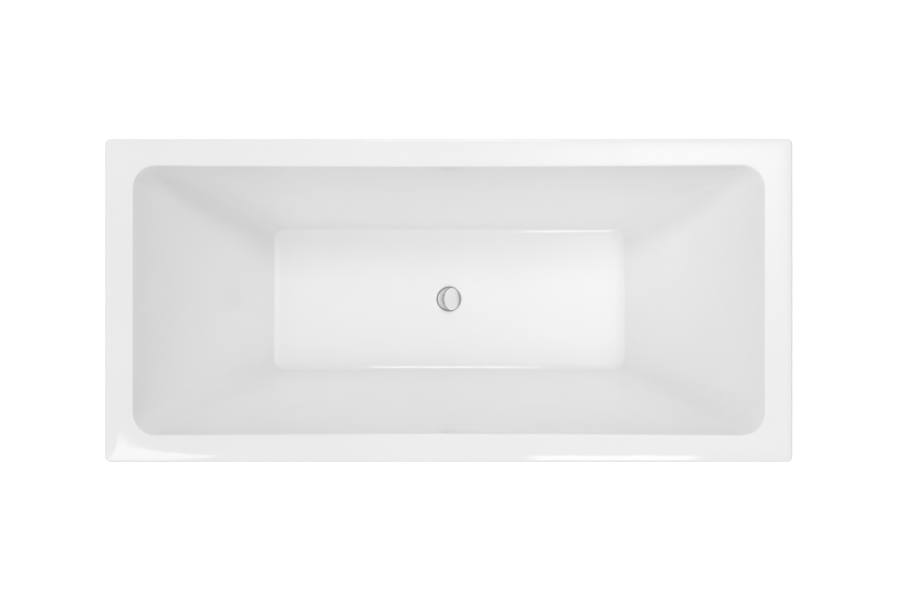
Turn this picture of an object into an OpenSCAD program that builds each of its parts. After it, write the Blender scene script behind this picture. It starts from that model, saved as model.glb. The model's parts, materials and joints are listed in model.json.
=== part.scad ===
/* [Tub] */
// Overall length
tub_l = 1700; // [1660:10:1800]
// Overall width
tub_w = 800; // [780:10:850]
// Overall height, from the floor of the room to the rim
tub_h = 580; // [560:5:620]
// Depth of the basin below the rim
basin_depth = 440; // [400:5:450]
// Thickness of the acrylic sheet
shell_t = 5; // [4:0.5:6]

/* [Rim] */
// Width of the flat rim at the two ends
rim_end_w = 70; // [64:1:80]
// Width of the flat rim along the two sides
rim_side_w = 67; // [62:1:75]
// Vertical corner radius of the rim and skirt
corner_r = 14; // [14:1:20]
// Radius rolled along the outer top edge of the rim
rim_edge_r = 6; // [4:0.5:6.5]
// Height of the lip turned down around the rim
lip_h = 35; // [30:1:45]
// Chamfer that breaks the edge between rim and basin
mouth_chamfer = 4; // [2:0.5:6]

/* [Basin] */
// Corner radius of the basin at the rim
open_r = 57; // [50:1:65]
// Length of the basin floor
floor_l = 998; // [960:1:1040]
// Width of the basin floor
floor_w = 403; // [380:1:420]
// Corner radius of the basin floor
floor_r = 37; // [30:1:45]
// Fillet between basin floor and walls
floor_fillet = 18; // [12:1:22]
// Thickness of the glass-fibre laminate behind the acrylic
backing_t = 4; // [3:0.5:5]

/* [Skirt] */
// Height of the skirt's lower edge above the room's floor
skirt_gap = 10; // [9:1:14]
// How far the skirt's face stands in from the rim's lip
skirt_inset = 1; // [0.5:0.5:2]
// Open seam between the lip and the skirt
seam_gap = 2; // [1:0.5:3]

/* [Frame] */
// Side of the square steel tube
tube_s = 30; // [25:1:32]
// Wall of the square steel tube
tube_t = 2; // [1.5:0.5:3]
// Distance of the long rails from the centre line
rail_y = 300; // [290:1:310]
// Distance of the cross rails from the middle
cross_x = 350; // [300:5:400]
// Thickness of the base board under the basin floor
board_t = 18; // [15:1:18]

/* [Feet] */
// Distance of the feet from the middle, along the tub
foot_x = 600; // [560:10:660]
// Radius of the threaded stud
stud_r = 6; // [5:1:6]
// Radius of the foot's pad
pad_r = 27; // [22:1:32]
// Radial running clearance of the stud in its nuts
stud_clearance = 0.06; // [0.03:0.01:0.1]

/* [Waste] */
// Radius of the stopper's cap
cap_r = 31.4; // [30:0.1:31.6]
// Thickness of the stopper's cap
cap_t = 4; // [3.8:0.1:4.2]
// Angle at which the stopper stands open, from flat
cap_open = 47.3; // [0:0.1:70]
// Inner radius of the waste's cup
cup_r = 32.8; // [32.8:0.1:33]
// Outer radius of the waste's threaded tail
tail_r = 23.9; // [23:0.1:24]
// Bore radius of the waste's tail
bore_r = 19.5; // [18:0.5:20]
// Distance of the stopper's hinge pin from the waste's axis
pin_x = 22.8; // [22:0.1:24]
// Radius of the stopper's hinge pin
pin_r = 0.9; // [0.7:0.1:1]

/* [Hidden] */
EPS = 0.5;
HULL_FN = 32;
edge_steps = 5;
ROUND_FN = 96;
SIDES = [-1, 1];
FOOT_SIGNS = [[-1, -1], [1, -1], [-1, 1], [1, 1]];

floor_z = tub_h - basin_depth;
open_l = tub_l - 2 * rim_end_w;
open_w = tub_w - 2 * rim_side_w;
board_z = floor_z - shell_t - backing_t - board_t;
rail_z = board_z - tube_s;
seam_z = tub_h - lip_h;

// The laminate stops short of the rim, to leave room for the battens
backing_top = tub_h - 26;
batten_h = 20;
batten_z = tub_h - shell_t - batten_h;
batten_gap = 3;
skirt_in = skirt_inset + shell_t;
tongue_in = shell_t;
tongue_t = 4;
joggle_h = 8;
batten_outer = tongue_in + tongue_t + batten_gap;
end_batten_in = open_l / 2 + shell_t + backing_t + batten_gap;
side_batten_in = open_w / 2 + shell_t + backing_t + batten_gap;

skirt_batten_t = 20;
skirt_batten_h = 40;
skirt_batten_z = skirt_gap + 10;
bracket_t = 3;
bracket_w = 40;
bracket_x = 450;
bracket_lap = 16;
bracket_z = skirt_batten_z + skirt_batten_h;
bolt_r = 3;
bolt_head_r = 5.5;
bolt_head_h = 3;
bolt_grip = 12;

rail_end = tub_l / 2 - skirt_in - 19;
end_rail_x = rail_end - tube_s / 2;
upright_top = batten_z;

board_margin = 29;
board_l = floor_l - 2 * board_margin;
board_w = floor_w - 2 * board_margin;
board_hole_r = 50;
board_screw_y = 110;
board_screw_r = 2.5;

nut_af = 19;
nut_h = 10;
pad_h = 12;
pad_foot_h = 4;
stud_start = 3;
stud_top = board_z + 40;
stud_hex_z = pad_h + 3;
stud_hex_h = 6;

recess_r = cup_r + 1.6 + 0.3;
recess_edge = 3;
recess_z = floor_z - 18;
drain_r = tail_r + 1;
cup_out = cup_r + 1.6;
cup_z = recess_z + 2;
cup_floor_t = 2;
cup_top = floor_z - 0.6;
mouth_h = 5;
mouth_flare = 1.2;
spoke_w = 3;
spoke_h = 4;
tail_z = 60;
relief_h = 3;
relief_d = 0.8;
washer_t = 3;
washer_r = 33;
backnut_t = 12;
backnut_r = 34;
backnut_lug_w = 9;
backnut_lugs = 6;
washer_z = recess_z - shell_t - backing_t - washer_t;
backnut_z = washer_z - backnut_t;

cap_top = floor_z - 2.4;
pin_z = cap_top - cap_t / 2;
pin_half = sqrt(cup_r * cup_r - pin_x * pin_x) + 1.6;
pin_clearance = 0.05;
seal_t = 2.4;
seal_out = 0.5;
seal_depth = 1;
cap_bevel = 0.6;

ACRYLIC = [0.97, 0.97, 0.97];
LAMINATE = [0.86, 0.84, 0.76];
BOARD = [0.72, 0.6, 0.42];
TIMBER = [0.8, 0.66, 0.46];
STEEL = [0.62, 0.64, 0.66];
ZINC = [0.75, 0.76, 0.78];
BLACK = [0.12, 0.12, 0.12];
CHROME = [0.82, 0.83, 0.85];
LACQUER = [0.93, 0.93, 0.92];
RUBBER = [0.08, 0.08, 0.08];

// A plate with four round corners, standing on z = 0
module rounded_slab(l, w, r, h) {
    linear_extrude(h) {
        square([l - 2 * r, w], center = true);
        square([l, w - 2 * r], center = true);
        for (x = SIDES, y = SIDES)
            translate([x * (l / 2 - r), y * (w / 2 - r)])
                circle(r = r, $fn = 64);
    }
}

// A disc whose lower edge is rolled with the given fillet
module rolled_disc(r, fillet) {
    rotate_extrude($fn = HULL_FN)
        intersection() {
            square([r, 2 * fillet]);
            union() {
                translate([r - fillet, fillet])
                    circle(r = fillet, $fn = HULL_FN);
                translate([0, fillet])
                    square([r, fillet]);
                square([max(r - fillet, EPS), fillet]);
            }
        }
}

// The basin's tapered form, grown outwards for each layer behind the acrylic
module basin_form(grow, top) {
    hull() {
        translate([0, 0, top])
            rounded_slab(open_l + 2 * grow, open_w + 2 * grow, open_r + grow, 1);
        for (x = SIDES, y = SIDES)
            translate([x * (floor_l / 2 - floor_r), y * (floor_w / 2 - floor_r), floor_z - grow])
                rolled_disc(floor_r + grow, floor_fillet + grow);
    }
}

// The broken edge between the rim and the basin
module basin_mouth() {
    hull() {
        translate([0, 0, tub_h])
            rounded_slab(open_l + mouth_chamfer, open_w + mouth_chamfer, open_r + mouth_chamfer / 2, 1);
        translate([0, 0, tub_h - mouth_chamfer - 1])
            rounded_slab(open_l - mouth_chamfer, open_w - mouth_chamfer, open_r - mouth_chamfer / 2, 1);
    }
}

// The rim's solid outline, its top edge rolled in steps that follow a quarter circle
module rim_block() {
    hull() {
        translate([0, 0, seam_z])
            rounded_slab(tub_l, tub_w, corner_r, lip_h - rim_edge_r);
        for (i = [1:edge_steps]) {
            a = i * 90 / edge_steps;
            inset = rim_edge_r * (1 - cos(a));
            h = lip_h - rim_edge_r * (1 - sin(a));
            translate([0, 0, seam_z + lip_h - rim_edge_r])
                rounded_slab(tub_l - 2 * inset, tub_w - 2 * inset, corner_r - inset, h - lip_h + rim_edge_r);
        }
    }
}

module inner_shell() {
    under_l = tub_l - 2 * shell_t;
    under_w = tub_w - 2 * shell_t;
    color(ACRYLIC)
        difference() {
            union() {
                difference() {
                    rim_block();
                    translate([0, 0, seam_z - EPS])
                        rounded_slab(under_l, under_w, corner_r - shell_t, lip_h - shell_t + EPS);
                }
                basin_form(shell_t, tub_h - shell_t);
                translate([0, 0, recess_z - shell_t])
                    cylinder(r = recess_r + shell_t, h = floor_z - recess_z, $fn = ROUND_FN);
            }
            basin_form(0, tub_h);
            basin_mouth();
            translate([0, 0, recess_z])
                cylinder(r = recess_r, h = floor_z - recess_z + EPS, $fn = ROUND_FN);
            translate([0, 0, recess_z - shell_t - EPS])
                cylinder(r = drain_r, h = shell_t + 2 * EPS, $fn = ROUND_FN);
            recess_edge_cut();
        }
}

// The roll from the basin floor down into the waste's recess
module recess_edge_cut() {
    translate([0, 0, floor_z - recess_edge])
        rotate_extrude($fn = ROUND_FN)
            difference() {
                square([recess_r + recess_edge, recess_edge + EPS]);
                translate([recess_r + recess_edge, 0])
                    circle(r = recess_edge, $fn = 48);
            }
}

module glassfibre_backing() {
    outer = shell_t + backing_t;
    color(LAMINATE)
        difference() {
            union() {
                basin_form(outer, tub_h - shell_t);
                translate([0, 0, recess_z - outer])
                    cylinder(r = recess_r + outer, h = floor_z - recess_z, $fn = ROUND_FN);
            }
            basin_form(shell_t, tub_h - shell_t);
            translate([0, 0, backing_top])
                rounded_slab(tub_l, tub_w, corner_r, tub_h);
            translate([0, 0, recess_z - shell_t])
                cylinder(r = recess_r + shell_t, h = floor_z - recess_z, $fn = ROUND_FN);
            translate([0, 0, recess_z - outer - EPS])
                cylinder(r = drain_r + 1, h = outer, $fn = ROUND_FN);
        }
}

module outer_skirt() {
    color(ACRYLIC)
        difference() {
            union() {
                translate([0, 0, skirt_gap])
                    skirt_prism(skirt_inset, seam_z - seam_gap - skirt_gap);
                translate([0, 0, seam_z - seam_gap - joggle_h])
                    skirt_prism(tongue_in, lip_h + joggle_h - shell_t);
            }
            translate([0, 0, skirt_gap - EPS])
                skirt_prism(skirt_in, seam_z - seam_gap - joggle_h - skirt_gap + EPS);
            translate([0, 0, skirt_gap])
                skirt_prism(tongue_in + tongue_t, tub_h);
        }
}

module skirt_prism(inset, h) {
    rounded_slab(tub_l - 2 * inset, tub_w - 2 * inset, corner_r - inset, h);
}

module base_board() {
    color(BOARD)
        difference() {
            translate([0, 0, board_z])
                rounded_slab(board_l, board_w, 15, board_t);
            translate([0, 0, board_z - EPS])
                cylinder(r = board_hole_r, h = board_t + 2 * EPS, $fn = ROUND_FN);
            for (p = board_screw_points())
                translate([p[0], p[1], board_z - EPS])
                    cylinder(r = board_screw_r, h = bolt_grip + EPS, $fn = 24);
        }
}

function board_screw_points() = [
    for (x = SIDES, y = SIDES)
        [x * cross_x, y * board_screw_y]
];

// A batten under the rim along one side: side = -1 is the front, 1 the back
module side_rim_batten(side) {
    l = 2 * (end_batten_in - batten_gap);
    w = tub_w / 2 - batten_outer - side_batten_in;
    color(TIMBER)
        translate([-l / 2, side > 0 ? side_batten_in : -side_batten_in - w, batten_z])
            cube([l, w, batten_h]);
}

// A batten under the rim across one end: side = -1 is the left, 1 the right
module end_rim_batten(side) {
    l = tub_l / 2 - batten_outer - end_batten_in;
    w = 2 * (tub_w / 2 - batten_outer);
    color(TIMBER)
        translate([side > 0 ? end_batten_in : -end_batten_in - l, -w / 2, batten_z])
            cube([l, w, batten_h]);
}

module side_skirt_batten(side) {
    face = tub_w / 2 - skirt_in;
    l = 2 * (tub_l / 2 - corner_r - skirt_batten_t);
    color(TIMBER)
        difference() {
            translate([-l / 2, side > 0 ? face - skirt_batten_t : -face, skirt_batten_z])
                cube([l, skirt_batten_t, skirt_batten_h]);
            for (x = SIDES)
                translate([x * bracket_x, side * (face - bracket_lap / 2), bracket_z - bolt_grip])
                    cylinder(r = bolt_r, h = bolt_grip + EPS, $fn = 24);
        }
}

module end_skirt_batten(side) {
    face = tub_l / 2 - skirt_in;
    w = 2 * (tub_w / 2 - corner_r - skirt_batten_t);
    color(TIMBER)
        translate([side > 0 ? face - skirt_batten_t : -face, -w / 2, skirt_batten_z])
            cube([skirt_batten_t, w, skirt_batten_h]);
}

// Square tube of length l along +X, its outer section centred on the X axis
module square_tube(l) {
    difference() {
        translate([0, -tube_s / 2, -tube_s / 2])
            cube([l, tube_s, tube_s]);
        translate([-EPS, -tube_s / 2 + tube_t, -tube_s / 2 + tube_t])
            cube([l + 2 * EPS, tube_s - 2 * tube_t, tube_s - 2 * tube_t]);
    }
}

module frame_rail(side) {
    z = rail_z + tube_s / 2;
    bolt_y = rail_y + tube_s / 2;
    color(STEEL)
        difference() {
            translate([-rail_end, side * rail_y, z])
                square_tube(2 * rail_end);
            for (x = SIDES) {
                translate([x * foot_x, side * rail_y, rail_z - EPS])
                    cylinder(r = stud_r + EPS, h = tube_s + 2 * EPS, $fn = 48);
                translate([x * bracket_x, side * bolt_y, z])
                    rotate([side * 90, 0, 0])
                        cylinder(r = bolt_r, h = tube_t + EPS, $fn = 24);
            }
        }
}

module cross_rail(side) {
    l = 2 * rail_y - tube_s;
    color(STEEL)
        difference() {
            translate([side * cross_x, -l / 2, rail_z + tube_s / 2])
                rotate([0, 0, 90])
                    square_tube(l);
            for (y = SIDES)
                translate([side * cross_x, y * board_screw_y, rail_z - EPS])
                    cylinder(r = board_screw_r, h = tube_s + 2 * EPS, $fn = 24);
        }
}

module end_rail(side) {
    l = 2 * rail_y - tube_s;
    color(STEEL)
        translate([side * end_rail_x, -l / 2, rail_z + tube_s / 2])
            rotate([0, 0, 90])
                square_tube(l);
}

module upright(i) {
    s = FOOT_SIGNS[i - 1];
    color(STEEL)
        translate([s[0] * end_rail_x, s[1] * rail_y, board_z])
            rotate([0, -90, 0])
                square_tube(upright_top - board_z);
}

// An angle from the long rail's outer face to the top of the skirt batten
module skirt_bracket(i) {
    s = FOOT_SIGNS[i - 1];
    face = rail_y + tube_s / 2;
    reach = tub_w / 2 - skirt_in - face - 1;
    lap_y = tub_w / 2 - skirt_in - bracket_lap / 2;
    bolt_z = rail_z + tube_s / 2;
    color(ZINC)
        mirror([0, s[1] > 0 ? 0 : 1, 0])
            difference() {
                union() {
                    translate([s[0] * bracket_x - bracket_w / 2, face, bracket_z])
                        cube([bracket_w, reach, bracket_t]);
                    translate([s[0] * bracket_x - bracket_w / 2, face, bracket_z])
                        cube([bracket_w, bracket_t, board_z - bracket_z]);
                }
                translate([s[0] * bracket_x, lap_y, bracket_z - EPS])
                    cylinder(r = bolt_r, h = bracket_t + 2 * EPS, $fn = 24);
                translate([s[0] * bracket_x, face - EPS, bolt_z])
                    rotate([-90, 0, 0])
                        cylinder(r = bolt_r, h = bracket_t + 2 * EPS, $fn = 24);
            }
}

// A screw along +Z whose head rests on z = 0
module screw(r, grip) {
    translate([0, 0, -grip])
        cylinder(r = r, h = grip, $fn = 24);
    cylinder(r = bolt_head_r, h = bolt_head_h, $fn = 32);
}

module bracket_bolts() {
    head_y = rail_y + tube_s / 2 + bracket_t;
    color(ZINC)
        for (s = FOOT_SIGNS)
            translate([s[0] * bracket_x, s[1] * head_y, rail_z + tube_s / 2])
                rotate([-s[1] * 90, 0, 0])
                    screw(bolt_r, bracket_t + tube_t);
}

module bracket_screws() {
    lap_y = tub_w / 2 - skirt_in - bracket_lap / 2;
    color(ZINC)
        for (s = FOOT_SIGNS)
            translate([s[0] * bracket_x, s[1] * lap_y, bracket_z + bracket_t])
                screw(bolt_r, bracket_t + bolt_grip);
}

module board_screws() {
    color(ZINC)
        for (p = board_screw_points())
            translate([p[0], p[1], rail_z])
                mirror([0, 0, 1])
                    screw(board_screw_r, tube_s + bolt_grip);
}

// A hexagon nut standing on z = 0, with a true bore around the stud
module stud_nut() {
    difference() {
        cylinder(d = nut_af / cos(30), h = nut_h, $fn = 6);
        translate([0, 0, -EPS])
            cylinder(r = stud_r + stud_clearance, h = nut_h + 2 * EPS, $fn = 48);
    }
}

module weld_nuts() {
    color(ZINC)
        for (s = FOOT_SIGNS)
            translate([s[0] * foot_x, s[1] * rail_y, board_z])
                stud_nut();
}

module at_foot(i) {
    s = FOOT_SIGNS[i - 1];
    translate([s[0] * foot_x, s[1] * rail_y, 0])
        children();
}

module foot_lock_nut(i) {
    color(ZINC)
        at_foot(i)
            translate([0, 0, rail_z - nut_h])
                stud_nut();
}

module foot_pad(i) {
    hub_r = stud_r + 6;
    color(BLACK)
        at_foot(i)
            difference() {
                rotate_extrude($fn = 64)
                    polygon([[0, 0], [pad_r - 1, 0], [pad_r, 1], [pad_r, pad_foot_h], [hub_r, pad_h], [0, pad_h]]);
                translate([0, 0, stud_start])
                    cylinder(r = stud_r + stud_clearance, h = pad_h, $fn = 48);
            }
}

module foot_stud(i) {
    color(ZINC)
        at_foot(i) {
            translate([0, 0, stud_start + stud_clearance])
                cylinder(r = stud_r, h = stud_top - stud_start - stud_clearance, $fn = 48);
            translate([0, 0, stud_hex_z])
                cylinder(r = stud_r + 3, h = stud_hex_h, $fn = 6);
        }
}

module waste_cup() {
    color(CHROME)
        difference() {
            union() {
                rotate_extrude($fn = ROUND_FN)
                    polygon([
                        [bore_r, tail_z],
                        [tail_r, tail_z],
                        [tail_r, backnut_z - relief_h],
                        [tail_r - relief_d, backnut_z - relief_h],
                        [tail_r - relief_d, backnut_z],
                        [tail_r, backnut_z],
                        [tail_r, cup_z],
                        [cup_out, cup_z],
                        [cup_out, cup_top],
                        [cup_r + mouth_flare, cup_top],
                        [cup_r, cup_top - mouth_h],
                        [cup_r, cup_z + cup_floor_t],
                        [bore_r, cup_z + cup_floor_t]
                    ]);
                for (a = [45, 135])
                    rotate([0, 0, a])
                        translate([-bore_r - 1, -spoke_w / 2, cup_z + cup_floor_t - spoke_h])
                            cube([2 * bore_r + 2, spoke_w, spoke_h]);
            }
            translate([pin_x, -cup_out, pin_z])
                rotate([-90, 0, 0])
                    cylinder(r = pin_r + pin_clearance, h = 2 * cup_out, $fn = 32);
        }
}

module waste_upper_seal() {
    color(RUBBER)
        translate([0, 0, recess_z])
            flat_ring(cup_out - 1, drain_r, cup_z - recess_z);
}

module waste_lower_washer() {
    color(RUBBER)
        translate([0, 0, washer_z])
            flat_ring(washer_r, tail_r + 0.2, washer_t);
}

module flat_ring(outer, inner, h) {
    difference() {
        cylinder(r = outer, h = h, $fn = ROUND_FN);
        translate([0, 0, -EPS])
            cylinder(r = inner, h = h + 2 * EPS, $fn = ROUND_FN);
    }
}

module waste_backnut() {
    color(BLACK)
        translate([0, 0, backnut_z])
            difference() {
                union() {
                    cylinder(r = backnut_r - 3, h = backnut_t, $fn = ROUND_FN);
                    for (i = [1:backnut_lugs])
                        rotate([0, 0, i * 360 / backnut_lugs])
                            translate([0, -backnut_lug_w / 2, 0])
                                cube([backnut_r, backnut_lug_w, backnut_t]);
                }
                translate([0, 0, -EPS])
                    cylinder(r = tail_r, h = backnut_t + 2 * EPS, $fn = ROUND_FN);
            }
}

// Carries the stopper from lying flat in the cup to standing open on its pin
module stopper_pose() {
    translate([pin_x, 0, pin_z])
        rotate([0, cap_open, 0])
            translate([-pin_x, 0, -pin_z])
                children();
}

module stopper_cap() {
    low = cap_top - cap_t;
    mid = pin_z;
    color(LACQUER)
        stopper_pose()
            difference() {
                rotate_extrude($fn = ROUND_FN)
                    polygon([
                        [0, low],
                        [cap_r - cap_bevel, low],
                        [cap_r, low + cap_bevel],
                        [cap_r, mid - seal_t / 2],
                        [cap_r - seal_depth, mid - seal_t / 2],
                        [cap_r - seal_depth, mid + seal_t / 2],
                        [cap_r, mid + seal_t / 2],
                        [cap_r, cap_top - cap_bevel],
                        [cap_r - cap_bevel, cap_top],
                        [0, cap_top]
                    ]);
                pin_hole();
            }
}

module pin_hole() {
    translate([pin_x, -cup_r, pin_z])
        rotate([-90, 0, 0])
            cylinder(r = pin_r, h = 2 * cup_r, $fn = 32);
}

module stopper_seal() {
    color(RUBBER)
        stopper_pose()
            difference() {
                translate([0, 0, pin_z - seal_t / 2])
                    flat_ring(cap_r + seal_out, cap_r - seal_depth, seal_t);
                pin_hole();
            }
}

module stopper_pin() {
    color(ZINC)
        translate([pin_x, -pin_half, pin_z])
            rotate([-90, 0, 0])
                cylinder(r = pin_r, h = 2 * pin_half, $fn = 32);
}

inner_shell();
glassfibre_backing();
outer_skirt();
base_board();
side_rim_batten(-1);  // rim_batten_front
side_rim_batten(1);  // rim_batten_back
end_rim_batten(-1);  // rim_batten_left
end_rim_batten(1);  // rim_batten_right
side_skirt_batten(-1);  // skirt_batten_front
side_skirt_batten(1);  // skirt_batten_back
end_skirt_batten(-1);  // skirt_batten_left
end_skirt_batten(1);  // skirt_batten_right
frame_rail(-1);  // frame_rail_front
frame_rail(1);  // frame_rail_back
cross_rail(-1);  // cross_rail_left
cross_rail(1);  // cross_rail_right
end_rail(-1);  // end_rail_left
end_rail(1);  // end_rail_right
for (i = [1:4]) upright(i);
for (i = [1:4]) skirt_bracket(i);
bracket_bolts();
bracket_screws();
board_screws();
weld_nuts();
for (i = [1:4]) foot_pad(i);
for (i = [1:4]) foot_stud(i);
for (i = [1:4]) foot_lock_nut(i);
waste_cup();
waste_upper_seal();
waste_lower_washer();
waste_backnut();
stopper_cap();
stopper_seal();
stopper_pin();
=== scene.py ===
"""A freestanding bathtub: acrylic shells, the steel frame that carries them, and the waste."""

import json
import math

import bmesh
import bpy
from mathutils import Matrix, Vector, noise


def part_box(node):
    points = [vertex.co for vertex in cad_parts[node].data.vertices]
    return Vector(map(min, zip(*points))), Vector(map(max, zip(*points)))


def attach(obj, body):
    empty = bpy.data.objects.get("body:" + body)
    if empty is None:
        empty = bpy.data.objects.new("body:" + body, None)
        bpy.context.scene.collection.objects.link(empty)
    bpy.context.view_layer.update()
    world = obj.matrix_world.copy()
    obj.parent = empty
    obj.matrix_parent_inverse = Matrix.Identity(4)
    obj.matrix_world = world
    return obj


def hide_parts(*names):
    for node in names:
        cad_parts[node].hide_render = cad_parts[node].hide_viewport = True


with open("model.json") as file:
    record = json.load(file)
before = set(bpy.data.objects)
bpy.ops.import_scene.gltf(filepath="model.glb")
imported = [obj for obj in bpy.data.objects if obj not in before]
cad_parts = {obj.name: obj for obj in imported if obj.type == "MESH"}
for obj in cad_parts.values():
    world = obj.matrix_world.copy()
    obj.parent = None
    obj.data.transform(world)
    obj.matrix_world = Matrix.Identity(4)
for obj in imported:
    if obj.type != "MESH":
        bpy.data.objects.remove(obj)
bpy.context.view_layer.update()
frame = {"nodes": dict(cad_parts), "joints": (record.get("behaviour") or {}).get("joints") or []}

TAU = 2 * math.pi
MM = 0.001

# ------------ driving sizes, in metres

shell_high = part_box("inner_shell")[1]
skirt_low, skirt_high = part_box("outer_skirt")
cup_low, cup_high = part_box("waste_cup")

TOP = shell_high.z
HALF_L = shell_high.x
HALF_W = shell_high.y
SHELL_T = 5 * MM
RIM_END = 70 * MM
RIM_SIDE = 67 * MM
RIM_BOW = 3.5 * MM
CROWN = 1.0 * MM
CORNER_R = 14 * MM
EDGE_R = 6 * MM
INNER_EDGE_R = 5 * MM
LIP = 35 * MM
OPEN_R = 57 * MM
FLOOR_Z = TOP - 440 * MM
FLOOR_HALF_L = 499 * MM
FLOOR_HALF_W = 201.5 * MM
FLOOR_R = 37 * MM
FLOOR_FILLET = 14 * MM
SOFT_R = 55 * MM
BELLY = 5.5 * MM
SOFT_TURN = math.radians(20)
DISH = 3 * MM
BACKING_T = 4 * MM
BACKING_TOP = TOP - 26 * MM

RECESS_R = 34.7 * MM
RECESS_EDGE = 3 * MM
RECESS_Z = FLOOR_Z - 18 * MM
DRAIN_R = 24.9 * MM

# Segments along each stretch of a ring round the tub
SEG_LONG = 44
SEG_SHORT = 24
SEG_CORNER = 10
FILLET_STEPS = 14
WALL_STEPS = 18
RIM_STEPS = 14
EDGE_STEPS = 6
RING_POINTS = 2 * SEG_LONG + 2 * SEG_SHORT + 4 * SEG_CORNER


# ------------ mesh helpers


def add_mesh(name, part, material, smooth_angle=35):
    """A mesh object whose faces look outwards, smooth except where they meet sharply."""
    verts, faces = part
    mesh = bpy.data.meshes.new(name)
    mesh.from_pydata([tuple(v) for v in verts], [], faces)
    mesh.validate()
    shape = bmesh.new()
    shape.from_mesh(mesh)
    bmesh.ops.recalc_face_normals(shape, faces=shape.faces)
    shape.to_mesh(mesh)
    shape.free()
    mesh.polygons.foreach_set("use_smooth", [True] * len(mesh.polygons))
    mesh.set_sharp_from_angle(angle=math.radians(smooth_angle))
    mesh.materials.append(material)
    obj = bpy.data.objects.new(name, mesh)
    bpy.context.scene.collection.objects.link(obj)
    return obj


def loft_data(rings, closed=False, capped=False):
    """(verts, faces) through rings of equal length; closed joins the last ring to the first."""
    count = len(rings[0])
    verts = [p for r in rings for p in r]
    faces = []
    spans = len(rings) if closed else len(rings) - 1
    for k in range(spans):
        a = k * count
        b = ((k + 1) % len(rings)) * count
        for i in range(count):
            j = (i + 1) % count
            faces.append((a + i, a + j, b + j, b + i))
    if capped:
        last = (len(rings) - 1) * count
        faces.append(tuple(reversed(range(count))))
        faces.append(tuple(range(last, last + count)))
    return verts, faces


def merge(*parts):
    """Several (verts, faces) joined as one."""
    verts, faces = [], []
    for part_verts, part_faces in parts:
        base = len(verts)
        verts += part_verts
        faces += [tuple(base + i for i in f) for f in part_faces]
    return verts, faces


def moved(part, matrix):
    """A (verts, faces) pair moved by a matrix."""
    return [matrix @ Vector(v) for v in part[0]], part[1]


def place(obj, body, *nodes, slot):
    """The piece rides on its body and stands for its CAD nodes; its slot is not used."""
    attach(obj, body)
    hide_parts(*nodes)


def rounded_ring(half_l, half_w, r, z_end, z_side=None, bow=0.0):
    """A rounded rectangle about the Z axis, from the +X side's far end, anticlockwise."""
    z_side = z_end if z_side is None else z_side
    points = []
    for k in range(4):
        sx = 1 if k in (0, 3) else -1
        sy = 1 if k in (0, 1) else -1
        for i in range(SEG_CORNER + 1):
            a = (k + i / SEG_CORNER) * TAU / 4
            share = math.sin(a) ** 2
            x = sx * (half_l - r) + r * math.cos(a)
            y = sy * (half_w - r) + r * math.sin(a)
            points.append(Vector((x, y, z_end + (z_side - z_end) * share)))
        along_x = k % 2 == 0
        steps = SEG_LONG if along_x else SEG_SHORT
        for i in range(1, steps):
            t = 1 - 2 * i / steps
            if along_x:
                points.append(Vector((sx * t * (half_l - r), sy * half_w, z_side)))
            else:
                points.append(Vector((sx * half_l, sy * t * (half_w - r), z_end)))
    for p in points:
        p.y -= math.copysign(bow, p.y) * max(0.0, 1 - (p.x / half_l) ** 2)
    return points


def circle_ring(r, z):
    """A circle about the Z axis whose points match those of rounded_ring."""
    angles = [TAU * (i + SEG_SHORT / 2) / RING_POINTS for i in range(RING_POINTS)]
    return [Vector((r * math.cos(a), r * math.sin(a), z)) for a in angles]


def mix_rings(a, b, t):
    """The ring a share t of the way from a to b."""
    return [p.lerp(q, t) for p, q in zip(a, b)]


def radial_ring(radius, z, segments):
    """A ring whose radius and height may each be a number or a function of the angle."""
    points = []
    for i in range(segments):
        a = TAU * i / segments
        r = radius(a) if callable(radius) else radius
        h = z(a) if callable(z) else z
        points.append(Vector((r * math.cos(a), r * math.sin(a), h)))
    return points


def profile_rings(profile, segments=96):
    """Rings through a profile's (radius, height) pairs."""
    return [radial_ring(r, z, segments) for r, z in profile]


def lathe_data(profile, segments=96, closed=True):
    """A solid of revolution from a profile: closed, or with its two ends capped."""
    return loft_data(profile_rings(profile, segments), closed=closed, capped=not closed)


def arc(cx, cz, r, start, end, steps):
    """Points of an arc in a profile's plane, angles in degrees."""
    points = []
    for i in range(steps + 1):
        a = math.radians(start + (end - start) * i / steps)
        points.append((cx + r * math.cos(a), cz + r * math.sin(a)))
    return points


# ------------ materials


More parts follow.
